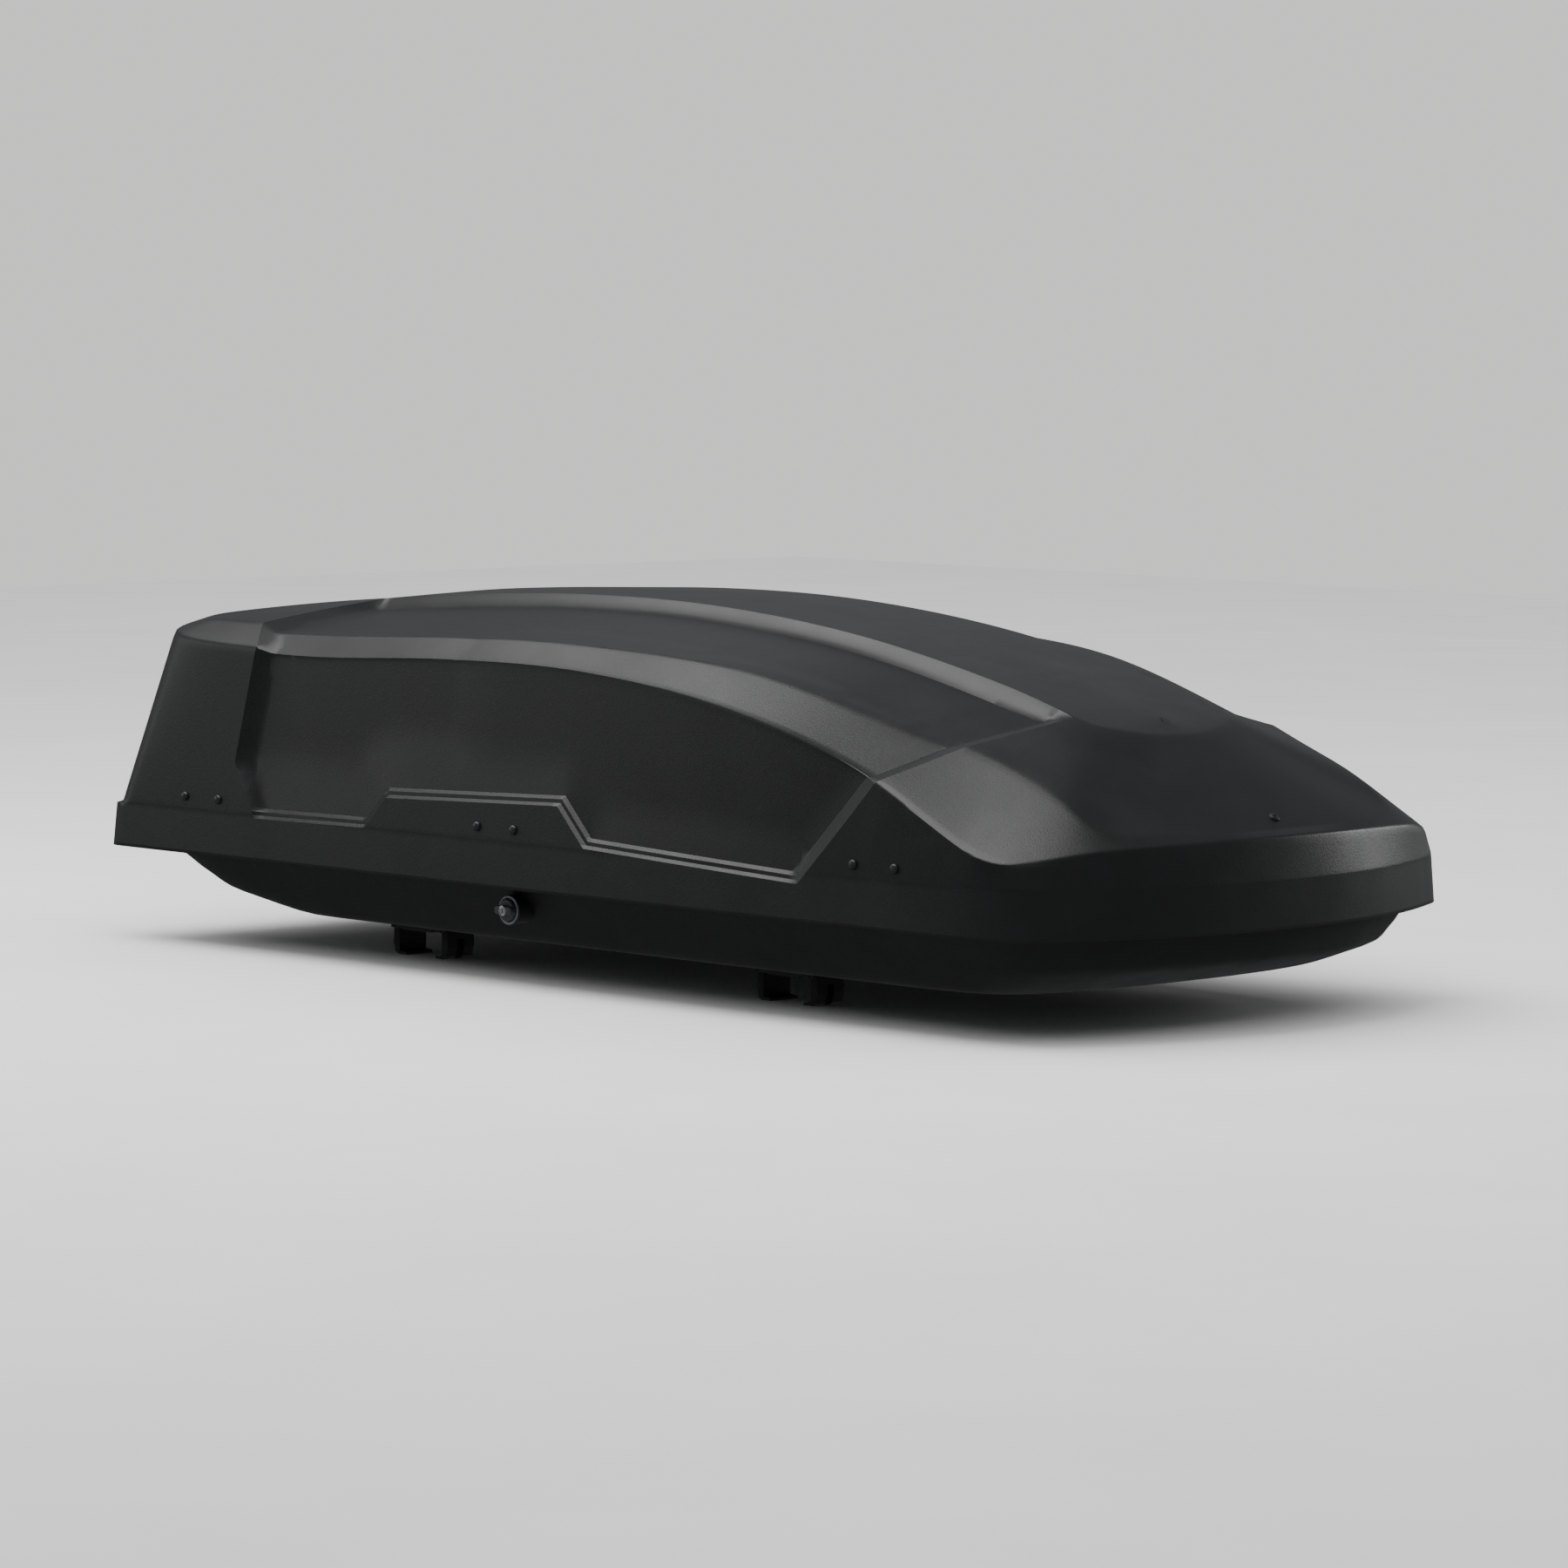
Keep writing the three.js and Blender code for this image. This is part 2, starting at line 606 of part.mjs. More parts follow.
const tubeRadius = 9;
const tubeBore = 6.6;
const rodRadius = 4;
const tubeStart = 11;
const tubeEnd = 176;
const rodStart = 19;
const rodPlay = 8.5; // lost motion in the rod's long eye
strutStations.forEach((x, i) => {
  const name = ['rear', 'front'][i];
  const sx = x + ribWidth / 2 + 14;
  const tube = alongStrut(turnedProfile([
    [0, tubeStart - 4], [5, tubeStart - 4], [tubeRadius, tubeStart], [tubeRadius, tubeEnd],
    [rodRadius + 0.5, tubeEnd], [rodRadius + 0.5, tubeEnd - 8], [tubeBore, tubeEnd - 8],
    [tubeBore, tubeStart + 6], [0, tubeStart + 6],
  ]), sx);
  addPiece(`strut_cylinder_${name}`, tube.add(strutEye(sx, 0, 0, 4)), 'strutPaint');

  const rod = alongStrut(turnedProfile([
    [0, rodStart], [tubeBore - 0.5, rodStart], [tubeBore - 0.5, rodStart + 8],
    [rodRadius, rodStart + 8], [rodRadius, strutClosed - 6.5], [0, strutClosed - 6.5],
  ]), sx);
  addPiece(`strut_rod_${name}`, rod.add(strutEye(sx, strutClosed, rodPlay, 4)), 'chrome');

  const [by, bz] = strutBase;
  const uprightInner = sx - 13;
  const baseBracket = joined([
    block(uprightInner - 22, uprightInner + 3, by - 24, by + 22, railBottom, railBottom + 3),
    prism('x', outline([
      [by - 24, railBottom], [by + 22, railBottom], [by + 9, bz + 9], [by - 9, bz + 9],
    ]), uprightInner, uprightInner + 3),
    prism('x', disc(by, bz, studRadius), uprightInner, sx + 6, 8),
  ]);
  addPiece(`strut_base_bracket_${name}`, baseBracket, 'steel');

  const [ly, lz] = strutLid;
  const armInner = x + ribWidth / 2 + 1;
  const legY = flankY(x, 200) - wall - recess - 18;
  const lidBracket = joined([
    prism('x', outline([
      [legY, 150], [legY, 215], [ly + 6, lz + 12], [ly - 10, lz + 8], [ly - 10, lz - 10],
      [legY - 40, 170],
    ]), armInner, armInner + 3),
    prism('x', disc(ly, lz, studRadius), armInner, sx + 6, 8),
  ]);
  addPiece(`strut_lid_bracket_${name}`, lidBracket, 'steel');
});

// ---- roof-bar clamps ----------------------------------------------------------------------------

const housingHalfLength = 46;
const housingHalfWidth = 36;
const housingTop = 44;
const pivotX = 46;
const pivotZ = -6.4;
const pivotRadius = 2.8;
const earInner = 24;
const earOuter = 30;
const padHalf = 27;
const knobShaftRadius = 7;

function clampBody(x, y) {
  const pivots = [-1, 1].map((s) => prism('y',
    disc(x + s * pivotX, pivotZ, pivotRadius + 0.3), y - 40, y + 40, 8));
  const ears = [-1, 1].map((s) => prism('y', outline([
    [x - pivotX - 5, -1.5], [x - pivotX - 5, -10.5], [x + pivotX + 5, -10.5],
    [x + pivotX + 5, -1.5],
  ]), y + Math.min(s * earInner, s * earOuter), y + Math.max(s * earInner, s * earOuter)));
  const shaftHole = prism('z', disc(x, y, knobShaftRadius + 1.2), housingTop - 16, housingTop + 5, 12);
  return joined([
    prism('z', roundedBox(x, y, housingHalfLength, housingHalfWidth, 14),
      railTop + gap, housingTop, 4),
    block(x - stemHalfLength, x + stemHalfLength, y - stemHalfWidth + 1, y + stemHalfWidth - 1,
      -5, railTop + 5),
    block(x - padHalf, x + padHalf, y - earOuter, y + earOuter, -padThickness, -1.2),
    ...ears,
  ]).subtract(joined([...pivots, shaftHole]));
}

// two rounded lobes hook under the bar, one knuckle turns between the ears
function clampJaw(x, y, s) {
  const at = ([a, b]) => [x + s * a, b];
  const reach = barHalfWidth + 1.5;
  const arm = outline([
    [pivotX - 4, -1.8], [pivotX + 4.5, -2.4], [reach + 11, -12], [reach + 11.5, -30],
    [reach + 8, -jawDrop + 3], [reach + 3, -jawDrop], [28.5, -jawDrop],
    [29.5, -jawDrop + toeThickness], [reach, -jawDrop + toeThickness + 1], [reach, -13],
    [pivotX - 5, -9],
  ].map(at));
  const halfWide = earInner - 0.8;
  const body = prism('y', arm, y - halfWide, y + halfWide);
  const notch = prism('z', roundedBox(x + s * (reach + 10), y, 9, 6, 4), -jawDrop - 5, -20, 4);
  const axle = prism('y', disc(x + s * pivotX, pivotZ, pivotRadius), y - earOuter, y + earOuter, 8);
  return body.subtract(notch).add(axle);
}

function clampKnob(x, y) {
  const lobes = 5;
  const wheel = [prism('z', disc(x, y, 24), housingTop + gap, housingTop + 22, 16)];
  for (let i = 0; i < lobes; i++) {
    const angle = (i / lobes) * Math.PI * 2;
    wheel.push(prism('z', disc(x + 22 * Math.cos(angle), y + 22 * Math.sin(angle), 9),
      housingTop + gap, housingTop + 22, 8));
  }
  wheel.push(prism('z', disc(x, y, knobShaftRadius), housingTop - 14, housingTop + 2, 12));
  return joined(wheel);
}

const clampNames = ['rear_right', 'rear_left', 'front_right', 'front_left'];
clampNames.forEach((name, i) => {
  const x = barStations[i < 2 ? 0 : 1];
  const y = i % 2 === 0 ? -clampY : clampY;
  addPiece(`clamp_body_${name}`, clampBody(x, y), 'clampPlastic');
  addPiece(`clamp_knob_${name}`, clampKnob(x, y), 'handlePlastic');
  addPiece(`clamp_jaw_front_${name}`, clampJaw(x, y, 1), 'rubber');
  addPiece(`clamp_jaw_back_${name}`, clampJaw(x, y, -1), 'rubber');
});

box.position.z = jawDrop;
box.updateMatrixWorld(true);

export default box;
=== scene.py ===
import json
from math import radians, sin, cos, pi
import bpy
import bmesh
from mathutils import Vector, Matrix
from mathutils.bvhtree import BVHTree
from mathutils.kdtree import KDTree


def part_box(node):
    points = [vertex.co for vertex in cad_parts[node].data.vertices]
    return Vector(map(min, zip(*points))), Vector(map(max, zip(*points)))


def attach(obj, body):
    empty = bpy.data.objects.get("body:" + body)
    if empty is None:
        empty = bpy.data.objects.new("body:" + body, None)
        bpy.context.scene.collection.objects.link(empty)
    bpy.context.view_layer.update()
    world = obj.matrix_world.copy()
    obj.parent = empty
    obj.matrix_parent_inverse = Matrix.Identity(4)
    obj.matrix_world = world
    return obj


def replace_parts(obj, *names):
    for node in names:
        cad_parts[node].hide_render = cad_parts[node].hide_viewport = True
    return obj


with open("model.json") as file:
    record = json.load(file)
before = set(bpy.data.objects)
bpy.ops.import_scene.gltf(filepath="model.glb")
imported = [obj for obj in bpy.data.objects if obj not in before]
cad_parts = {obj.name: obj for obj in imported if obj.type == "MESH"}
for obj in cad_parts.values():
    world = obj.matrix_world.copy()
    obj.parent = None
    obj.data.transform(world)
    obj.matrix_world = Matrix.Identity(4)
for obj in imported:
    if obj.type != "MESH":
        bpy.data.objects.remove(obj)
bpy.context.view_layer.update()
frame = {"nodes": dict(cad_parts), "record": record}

mm = 0.001
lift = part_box("base_tray")[0][2] / mm  # heights below count from the underside of the tray
print("frame loaded")


# camera: a long lens a few steps off the front right corner
view = {
    "place": (5.718, -5.685, 0.916),
    "target": (0.0, 0.0, 0.241),
    "lens": 144.0,
    "rollDegrees": 0.46,
    "sensorWidth": 36.0,
    "clipEnd": 60.0,
}
cameraData = bpy.data.cameras.new("camera")
cameraData.lens = view["lens"]
cameraData.sensor_width = view["sensorWidth"]
cameraData.clip_end = view["clipEnd"]
camera = bpy.data.objects.new("camera", cameraData)
bpy.context.collection.objects.link(camera)


def lookAlong(place, target):
    return (Vector(target) - Vector(place)).to_track_quat("-Z", "Y").to_matrix().to_4x4()


aim = lookAlong(view["place"], view["target"])
roll = Matrix.Rotation(radians(view["rollDegrees"]), 4, "Z")
camera.matrix_world = Matrix.Translation(view["place"]) @ aim @ roll
bpy.context.scene.camera = camera


# materials
def linear(hexColour):
    channels = [int(hexColour[i:i + 2], 16) / 255 for i in (0, 2, 4)]
    return [c / 12.92 if c <= 0.04045 else ((c + 0.055) / 1.055) ** 2.4 for c in channels] + [1.0]


def addNode(tree, kind, settings=None, values=None, links=None):
    node = tree.nodes.new(kind)
    for key, value in (settings or {}).items():
        setattr(node, key, value)
    for key, value in (values or {}).items():
        node.inputs[key].default_value = value
    for key, (source, output) in (links or {}).items():
        tree.links.new(source.outputs[output], node.inputs[key])
    return node


def perMetre(sizeInMm):
    return 1000.0 / sizeInMm


patchSpread = (0.3, 0.7)  # the part of the noise that runs from the dark shade to the light one
grainStrength = 0.6


def mouldedFinish(name, dark, light, patchMm, grainMm, grainDepthMm, rough, shader, stretch=(1, 1, 1)):
    # colour drifts over patches, the gloss breaks up with them, and a fine grain lifts the surface
    material = bpy.data.materials.new(name)
    material.use_nodes = True
    tree = material.node_tree
    bsdf = tree.nodes["Principled BSDF"]
    for key, value in shader.items():
        bsdf.inputs[key].default_value = value
    place = addNode(tree, "ShaderNodeTexCoord")
    turn = addNode(tree, "ShaderNodeMapping", values={"Scale": stretch}, links={"Vector": (place, "Object")})
    patches = addNode(tree, "ShaderNodeTexNoise",
                      values={"Scale": perMetre(patchMm), "Detail": 5.0, "Roughness": 0.6},
                      links={"Vector": (turn, "Vector")})
    grain = addNode(tree, "ShaderNodeTexNoise",
                    values={"Scale": perMetre(grainMm), "Detail": 2.0, "Roughness": 0.5},
                    links={"Vector": (turn, "Vector")})
    colour = addNode(tree, "ShaderNodeValToRGB", links={"Fac": (patches, "Fac")})
    for stop, position, shade in zip(colour.color_ramp.elements, patchSpread, (dark, light)):
        stop.position = position
        stop.color = linear(shade)
    gloss = addNode(tree, "ShaderNodeMapRange",
                    values={"From Min": patchSpread[0], "From Max": patchSpread[1],
                            "To Min": rough[0], "To Max": rough[1]},
                    links={"Value": (patches, "Fac")})
    raised = addNode(tree, "ShaderNodeBump",
                     values={"Strength": grainStrength, "Distance": grainDepthMm * mm},
                     links={"Height": (grain, "Fac")})
    tree.links.new(colour.outputs["Color"], bsdf.inputs["Base Color"])
    tree.links.new(gloss.outputs["Result"], bsdf.inputs["Roughness"])
    tree.links.new(raised.outputs["Normal"], bsdf.inputs["Normal"])
    return material


# the real grain is under 1 mm, so it is drawn at about 2.5 mm to show at all
lidAbs = mouldedFinish("thermoformed_black_abs", "0b0b0c", "101012", 90, 2.6, 0.25, (0.36, 0.44),
                       {"IOR": 1.52, "Specular IOR Level": 0.5})  # satin: broad soft highlights on the edges
trayAbs = mouldedFinish("matt_black_abs", "0b0b0c", "101011", 70, 2.2, 0.3, (0.5, 0.62),
                        {"IOR": 1.52, "Specular IOR Level": 0.4})  # duller underside, little reflection
clampNylon = mouldedFinish("moulded_glass_filled_nylon", "0f0f10", "161617", 25, 1.6, 0.2, (0.5, 0.6),
                           {"IOR": 1.53, "Specular IOR Level": 0.45})  # dry black moulding
greyPlastic = mouldedFinish("moulded_grey_polypropylene", "26272a", "303135", 18, 1.2, 0.12, (0.4, 0.5),
                            {"IOR": 1.49})  # slightly lighter touch parts
satinGrey = mouldedFinish("satin_grey_nylon", "4b4d51", "5c5e63", 15, 1.2, 0.1, (0.34, 0.44),
                          {"IOR": 1.53})  # the one light ring on the flank
jawRubber = mouldedFinish("vulcanised_rubber_cover", "0d0d0d", "131313", 20, 1.8, 0.25, (0.66, 0.8),
                          {"IOR": 1.52, "Specular IOR Level": 0.4})  # dead black, no glint
zincSteel = mouldedFinish("zinc_plated_steel", "9ea1a6", "c0c3c7", 9, 2.5, 0.05, (0.28, 0.42),
                          {"Metallic": 1.0})  # bluish white metal with faint spangle
millAluminium = mouldedFinish("mill_finish_aluminium", "a9acb0", "c6c8cb", 14, 1.2, 0.05, (0.32, 0.44),
                              {"Metallic": 1.0}, (0.06, 1, 1))  # extrusion lines along the length
powderCoat = mouldedFinish("black_powder_coat", "131315", "1b1b1e", 12, 1.4, 0.15, (0.34, 0.44),
                           {"IOR": 1.5, "Coat Weight": 0.2, "Coat Roughness": 0.25})  # fine orange peel
plating = mouldedFinish("polished_chrome_plate", "c9cbce", "dcdee0", 30, 4.0, 0.01, (0.08, 0.14),
                        {"Metallic": 1.0})  # clean mirror rods
print("materials made")


# tools for shells that are lofted from half rings and then mirrored
mergeGap = 1e-5  # metres, for points that are the same point
spinGap = 1e-6  # the same for small turned shapes
nearMiddle = 0.3 * mm  # points this close to the middle plane are put on it
placeDigits = 6


def softPoint(before, start, end, after, t):
    # centripetal spline between start and end
    d0, d1, d2 = [max((b - a).length, 1e-4) ** 0.5 for a, b in ((before, start), (start, end), (end, after))]
    leave = ((start - before) / d0 - (end - before) / (d0 + d1) + (end - start) / d1) * d1
    arrive = ((end - start) / d1 - (after - start) / (d1 + d2) + (after - end) / d2) * d1
    return (start * (2 * t ** 3 - 3 * t ** 2 + 1) + leave * (t ** 3 - 2 * t ** 2 + t)
            + end * (3 * t ** 2 - 2 * t ** 3) + arrive * (t ** 3 - t ** 2))


def softRing(ring, counts):
    # a smooth half ring that meets its mirror image squarely at both ends
    points = [Vector(p) for p in ring]
    widest = max(p.y for p in points)
    rearmost = min(p.x for p in points)
    flip = Vector((1, -1, 1))
    points = [points[1] * flip] + points + [points[-2] * flip]
    made = []
    for i, count in enumerate(counts):
        made += [softPoint(*points[i:i + 4], k / count) for k in range(count)]
    for point in made:  # the curve doesn't bulge past its own points
        point.y = min(point.y, widest)
        point.x = max(point.x, rearmost)
    return made + [points[-2]]


def columnCounts(ring, step):
    # how many columns each stretch of a ring gets, about one for each step
    return [max(3, round((Vector(b) - Vector(a)).length / step)) for a, b in zip(ring, ring[1:])]


def placed(point):
    # from mm over the underside of the tray to metres over the ground
    return Vector((point.x, point.y, point.z + lift)) * mm


def middleOf(face):
    # the middle of a face in mm, with its height from the underside of the tray
    x, y, z = face.calc_center_median()
    return x / mm, y / mm, z / mm - lift


def sweepRows(pointRows, closed=False):
    # extrudes a chain of edges from each row of points to the next
    bm = bmesh.new()
    row = [bm.verts.new(placed(p)) for p in pointRows[0]]
    pairs = list(zip(row, row[1:] + row[:1] if closed else row[1:]))
    edges = [bm.edges.new(pair) for pair in pairs]
    rows = [row]
    for points in pointRows[1:]:
        made = bmesh.ops.extrude_edge_only(bm, edges=edges)["geom"]
        byPlace = {v.co.to_tuple(placeDigits): v for v in made if isinstance(v, bmesh.types.BMVert)}
        row = [byPlace[v.co.to_tuple(placeDigits)] for v in row]
        pairs = list(zip(row, row[1:] + row[:1] if closed else row[1:]))
        edges = [bm.edges.get(pair) for pair in pairs]
        for vert, point in zip(row, points):
            vert.co = placed(point)
        rows.append(row)
    return bm, rows


def loftHalf(rings, sections, step):
    # each section lists how far along each new row of points lies between two rings
    counts = columnCounts(rings[0], step)
    curves = [softRing(ring, counts) for ring in rings]
    pointRows = [curves[0]]
    ringRows = [0]
    for low, high, fractions in zip(curves, curves[1:], sections):
        pointRows += [[a.lerp(b, t) for a, b in zip(low, high)] for t in fractions]
        ringRows.append(len(pointRows) - 1)
    bm, rows = sweepRows(pointRows)
    return bm, rows, ringRows


def relax(bm, rows, middle, reach, times, fromX=-10.0):
    # rounds a crease by easing the rows on both sides of it
    band = [v for row in rows[middle - reach:middle + reach + 1] for v in row if v.co.x > fromX]
    for _ in range(times):
        bmesh.ops.smooth_vert(bm, verts=band, factor=0.5, use_axis_x=True, use_axis_y=True, use_axis_z=True)
        for row in rows[middle - reach:middle + reach + 1]:
            row[0].co.y = 0
            row[-1].co.y = 0


def cutFaces(bm, faces, place, direction):
    # cuts the faces along a plane and marks the cut, so that it can stay crisp
    around = list({v for f in faces for v in f.verts}) + list({e for f in faces for e in f.edges}) + faces
    cut = bmesh.ops.bisect_plane(bm, geom=around, dist=mergeGap, plane_co=place, plane_no=direction)
    for item in cut["geom_cut"]:
        if isinstance(item, bmesh.types.BMEdge):
            item.smooth = False


def mirrorAcross(bm, outwards):
    # closes the half into a whole shell whose flat faces look up (1) or down (-1)
    for vert in bm.verts:
        if abs(vert.co.y) < nearMiddle:
            vert.co.y = 0
    bmesh.ops.mirror(bm, geom=bm.verts[:] + bm.edges[:] + bm.faces[:], axis="Y", merge_dist=mergeGap)
    bmesh.ops.remove_doubles(bm, verts=bm.verts[:], dist=mergeGap)
    bmesh.ops.dissolve_degenerate(bm, edges=bm.edges[:], dist=mergeGap)
    bmesh.ops.recalc_face_normals(bm, faces=bm.faces[:])
    flattest = max(bm.faces, key=lambda face: abs(face.normal.z) * face.calc_area())
    if flattest.normal.z * outwards < 0:
        bmesh.ops.reverse_faces(bm, faces=bm.faces[:])


def newPiece(name, bm, material, body, cutDegrees=7.0, sharpDegrees=35.0):
    # faces shade smoothly, except over marked cuts and over steep folds
    for face in bm.faces:
        face.smooth = True
    for edge in bm.edges:
        fold = edge.calc_face_angle(0.0)
        edge.smooth = fold < radians(sharpDegrees if edge.smooth else cutDegrees)
    mesh = bpy.data.meshes.new(name)
    bm.to_mesh(mesh)
    bm.free()
    piece = bpy.data.objects.new(name, mesh)
    bpy.context.collection.objects.link(piece)
    mesh.materials.append(material)
    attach(piece, body)
    return piece


def addWall(piece, thicknessMm):
    # gives the skin its thickness on the inner side
    wall = piece.modifiers.new("wall", "SOLIDIFY")
    wall.thickness = thicknessMm * mm
    wall.offset = -1.0
    wall.use_even_offset = False


def spinShape(bm, profile, sides, place, direction, closed=False):
    # turns (radius, height) pairs round an axis, then stands the shape on its place
    made = [bm.verts.new((r * mm, 0, h * mm)) for r, h in profile]
    chain = [bm.edges.new(pair) for pair in zip(made, made[1:] + made[:1] if closed else made[1:])]
    bmesh.ops.spin(bm, geom=made + chain, cent=(0, 0, 0), axis=(0, 0, 1), angle=2 * pi, steps=sides,
                   use_merge=True)
    fresh = [v for v in bm.verts if not v.tag]
    turn = Vector((0, 0, 1)).rotation_difference(Vector(direction)).to_matrix().to_4x4()
    bmesh.ops.transform(bm, matrix=Matrix.Translation(place) @ turn, verts=fresh)
    bmesh.ops.remove_doubles(bm, verts=fresh, dist=spinGap)
    fresh = [v for v in bm.verts if not v.tag]
    for vert in fresh:  # what is made before is tagged, so the next shape leaves it alone
        vert.tag = True
    return fresh


def smoothStep(value):
    # runs softly from 0 to 1
    value = min(max(value, 0.0), 1.0)
    return value * value * (3 - 2 * value)


def onTable(table, value):
    # straight lines between (distance, depth) pairs
    for (x0, y0), (x1, y1) in zip(table, table[1:]):
        if value <= x1:
            return y0 + (y1 - y0) * max(value - x0, 0) / (x1 - x0)
    return table[-1][1]


# the lid, half rings in mm from the middle of the tail round the side to the middle of the nose
lid = {
    "sheetMm": 2.6,
    "columnMm": 13,
    "rim": [(-876, 0), (-876, 372), (-873, 401), (-858, 411), (-515, 411.5), (-230, 412.5), (20, 412.5),
            (270, 410.5), (500, 405), (715, 398), (768, 380), (803, 322), (858, 165), (875, 0)],
    "shoulder": [(-799, 0, 389), (-788, 336, 379), (-781, 370, 372), (-753, 385, 365), (-515, 389, 356),
                 (-230, 387, 366), (20, 387, 363), (270, 390, 334), (500, 394, 276), (712, 396, 178),
                 (752, 378, 170), (800, 303, 181), (848, 150, 188), (865, 0, 190)],
    "roofEdge": [(-778, 0, 401), (-764, 308, 391), (-754, 336, 388), (-728, 350, 387), (-515, 350, 388),
                 (-230, 346, 398), (20, 337, 396), (270, 322, 376), (500, 297, 318), (640, 273, 275),
                 (735, 272, 237), (789, 262, 205), (835, 145, 198), (850, 0, 197)],
    "plateau": [(-745, 0, 402), (-735, 95, 401), (-725, 120, 402), (-700, 130, 404), (-515, 130, 421),
                (-230, 130, 434), (20, 130, 429), (270, 130, 403), (500, 130, 358), (600, 130, 331),
                (645, 124, 316), (668, 96, 308), (684, 55, 302), (690, 0, 300)],
    "crest": [(-700, 0, 409), (-690, 0, 410), (-680, 0, 411), (-660, 0, 413), (-515, 0, 426),
              (-230, 0, 438), (20, 0, 433), (270, 0, 407), (500, 0, 361), (590, 0, 336), (620, 0, 327),
              (636, 0, 322), (646, 0, 319), (650, 0, 318)],
    "rimHeight": 79,
    "lipHeight": 136,
    "lipInset": 5,
    "lipShorter": 0.998,
    "ledgePoints": 4,  # the ledge over the lip runs along these first points, across the tail
    "ledgeDepth": 13,
    "ledgeRise": 3,
    # ring, rows on each side, times, and the x in metres from which on
    "easing": [(3, 1, 2), (4, 1, 2), (2, 1, 1), (3, 3, 5, 0.76), (5, 1, 1, 0.66)],
}
# the panel set into each side: its outline seen from the side, and which kind of step each edge has
panel = {
    "outline": [(-575, 134), (-355, 137), (-318, 178), (5, 189), (57, 140), (428, 124), (554, 257),
                (582, 287), (618, 318), (650, 345), (662, 480), (-660, 480), (-640, 400), (-592, 358),
                (-620, 205)],
    "edges": ["low", "low", "low", "low", "low", "front", "front", "front", "front", "front", "none", "tail",
              "tail", "tail", "tail"],
    "steps": {  # (distance from the border, depth) pairs
        "low": [(0, 0), (4.2, 4), (9, 4.2), (13.5, 8.4), (230, 26)],
        "front": [(0, 0), (22, 11), (70, 14)],
        "tail": [(0, 0), (33, 27), (200, 32)],
        "none": [(0, 99), (1, 99)],  # no step, the panel runs on over the roof
    },
    "spineStep": [(0, 0), (26, 21), (110, 20), (190, 14), (400, 11)],  # beside the spine of the roof
    "spineHalfWidth": 130,
    "spineReach": 150,
    "depthFront": 12,
    "depthTail": 27,
    "deepensFrom": -120,
    "deepensOver": 420,
    # which faces the cuts go through
    "cutMargin": 25,
    "cutFromSide": 120,
    "spineCutMargin": 30,
    "spineCutFrom": -690,
    "spineCutTo": 625,
    "spineCutAbove": 250,
    "sliverMm": 0.25,
    "nearPoints": 6,  # how many points the way inwards is averaged over, and how softly
    "nearMm": 4,
}

rim = [(x, y, lid["rimHeight"]) for x, y in lid["rim"]]
lip = [(x * lid["lipShorter"], y - min(y, lid["lipInset"]), lid["lipHeight"]) for x, y in lid["rim"]]
ledge = [(x + (lid["ledgeDepth"] if i < lid["ledgePoints"] else 0), y, z + lid["ledgeRise"])
         for i, (x, y, z) in enumerate(lip)]
nearBoth = [0.02, 0.05, 0.1, 0.17, 0.25, 0.33, 0.41, 0.5, 0.59, 0.67, 0.75, 0.83, 0.9, 0.95, 0.98, 1.0]
half, rows, ringRows = loftHalf(
    [rim, lip, ledge, lid["shoulder"], lid["roofEdge"], lid["plateau"], lid["crest"]],
    [[0.08, 0.3, 0.5, 0.7, 0.92, 1.0], [0.5, 1.0], nearBoth, [0.08, 0.2, 0.4, 0.6, 0.8, 0.92, 1.0],
     nearBoth[:-4] + [0.84, 0.93, 1.0], [0.05, 0.15, 0.3, 0.5, 0.75, 1.0]],
    lid["columnMm"])
for ring, *how in lid["easing"]:
    relax(half, rows, ringRows[ring], *how)


def segmentDistance(x, z, a, b):
    # how far a point of the side view lies from the line between a and b
    run = Vector((b[0] - a[0], b[1] - a[1]))
    t = min(max(((x - a[0]) * run.x + (z - a[1]) * run.y) / run.length_squared, 0), 1)
    return Vector((x - a[0] - run.x * t, z - a[1] - run.y * t)).length


def insideOutline(x, z, outline):
    # counts the borders over or under the point, an odd count is inside
    inside = False
    for a, b in zip(outline, outline[1:] + outline[:1]):
        if (a[1] > z) != (b[1] > z) and x < a[0] + (z - a[1]) * (b[0] - a[0]) / (b[1] - a[1]):
            inside = not inside
    return inside


outline = panel["outline"]
borders = list(zip(outline, outline[1:] + outline[:1], panel["edges"]))


def panelDepth(x, y, z):
    # how deep the panel is set in at a point of the smooth sheet
    if y < panel["spineHalfWidth"] or not insideOutline(x, z, outline):
        return 0.0
    toTail = smoothStep((panel["deepensFrom"] - x) / panel["deepensOver"])
    deepest = panel["depthFront"] + (panel["depthTail"] - panel["depthFront"]) * toTail
    fromSpine = y - panel["spineHalfWidth"]
    if fromSpine < panel["spineReach"]:
        deepest = max(deepest, onTable(panel["spineStep"], fromSpine))
    run, rise = panel["spineStep"][1]
    depth = min(deepest, fromSpine * rise / run)
    for a, b, kind in borders:
        depth = min(depth, onTable(panel["steps"][kind], segmentDistance(x, z, a, b)))
    return depth


# the way inwards is read off the smooth sheet, before the cuts crowd its points together
half.normal_update()
wayIn = KDTree(len(half.verts))
for i, vert in enumerate(half.verts):
    wayIn.insert(vert.co, i)
wayIn.balance()
topNormal = max(half.verts, key=lambda v: v.co.z).normal
smoothNormals = [v.normal * (-1 if topNormal.z > 0 else 1) for v in half.verts]


def inwardAt(place):
    total = Vector()
    for _, i, distance in wayIn.find_n(place, panel["nearPoints"]):
        total += smoothNormals[i] / (distance ** 2 + (panel["nearMm"] * mm) ** 2)
    return total.normalized()


